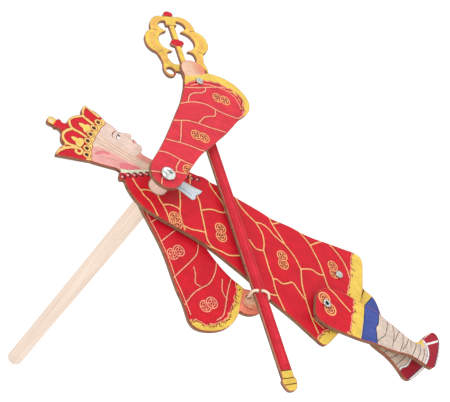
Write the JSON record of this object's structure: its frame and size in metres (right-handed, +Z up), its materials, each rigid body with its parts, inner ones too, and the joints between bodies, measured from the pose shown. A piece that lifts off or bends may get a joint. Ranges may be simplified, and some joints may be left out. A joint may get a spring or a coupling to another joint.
{
  "type": "rod puppet",
  "caption": "Flat jointed rod puppet of printed plywood: a robed figure on a long dowel, its two arms and ringed staff turning together and its legs swinging",
  "frame": {"origin": "Where the shoulder axis, which is also the dowel's axis, meets the plane of the torso's printed front face.", "axes": "The printed faces look along -Y and the dowel runs back along +Y. +Z runs up the standing figure, from its feet to its crown. The figure faces +X."},
  "size_m": [0.1967, 0.2206, 0.2457],
  "materials": {
    "body_ply": "red and gold print on birch ply, burnt laser-cut edge",
    "raised_arm_ply": "red and gold print on birch ply, burnt laser-cut edge",
    "rear_arm_ply": "red and gold print on birch ply, burnt laser-cut edge",
    "front_leg_ply": "red, yellow, blue and cream print on birch ply, burnt laser-cut edge",
    "rear_leg_ply": "red, yellow, blue and cream print on birch ply, burnt laser-cut edge",
    "staff_ply": "red shaft and yellow head printed on birch ply, burnt laser-cut edge",
    "rod_wood": "bare sanded softwood dowel",
    "screw_steel": "plated",
    "collar_rubber": "matt black",
    "front_rivet_steel": "nickel plated, rolled",
    "front_washer_steel": "plain",
    "rear_rivet_steel": "nickel plated, domed",
    "rear_washer_steel": "plain",
    "hand_rivet_steel": "nickel plated, flared",
    "spacer_plastic": "satin, natural",
    "cord_cotton": "twisted cotton cord",
    "knot_cotton": "twisted cotton cord"
  },
  "bodies": {
    "figure": {"body_plate": "body_ply", "control_rod": "rod_wood", "shoulder_screw": "screw_steel", "rear_arm_collar": "collar_rubber", "front_hip_rivet": "front_rivet_steel", "front_hip_washer": "front_washer_steel", "rear_hip_rivet": "rear_rivet_steel", "rear_hip_washer": "rear_washer_steel"},
    "raised_arm": {"raised_arm_plate": "raised_arm_ply", "hand_rivet": "hand_rivet_steel", "hand_spacer": "spacer_plastic"},
    "staff": {"staff_plate": "staff_ply"},
    "rear_arm": {"rear_arm_plate": "rear_arm_ply", "lashing_cord": "cord_cotton", "lashing_knot": "knot_cotton"},
    "front_leg": {"front_leg_plate": "front_leg_ply"},
    "rear_leg": {"rear_leg_plate": "rear_leg_ply"}
  },
  "joints": [
    {"name": "raised_arm_swing", "type": "hinge", "parent": "figure", "child": "raised_arm", "pos_m": [0, 0, 0], "axis": [0, -1, 0], "range_deg": [-75, 0.5]},
    {"name": "rear_arm_swing", "type": "hinge", "parent": "figure", "child": "rear_arm", "pos_m": [0, 0, 0], "axis": [0, -1, 0], "range_deg": [-75, 0.5]},
    {"name": "staff_play", "type": "hinge", "parent": "raised_arm", "child": "staff", "pos_m": [0.077, -0.0028, 0.0072], "axis": [0, -1, 0], "range_deg": [-0.1, 0.1]},
    {"name": "front_leg_swing", "type": "hinge", "parent": "figure", "child": "front_leg", "pos_m": [-0.0088, -0.004, -0.1064], "axis": [0, -1, 0], "range_deg": [-40, 38]},
    {"name": "rear_leg_swing", "type": "hinge", "parent": "figure", "child": "rear_leg", "pos_m": [0.019, 0.004, -0.1115], "axis": [0, -1, 0], "range_deg": [-35, 50]}
  ],
  "couplings": [
    {"joint": "rear_arm_swing", "follows": "raised_arm_swing", "ratio": 1}
  ]
}
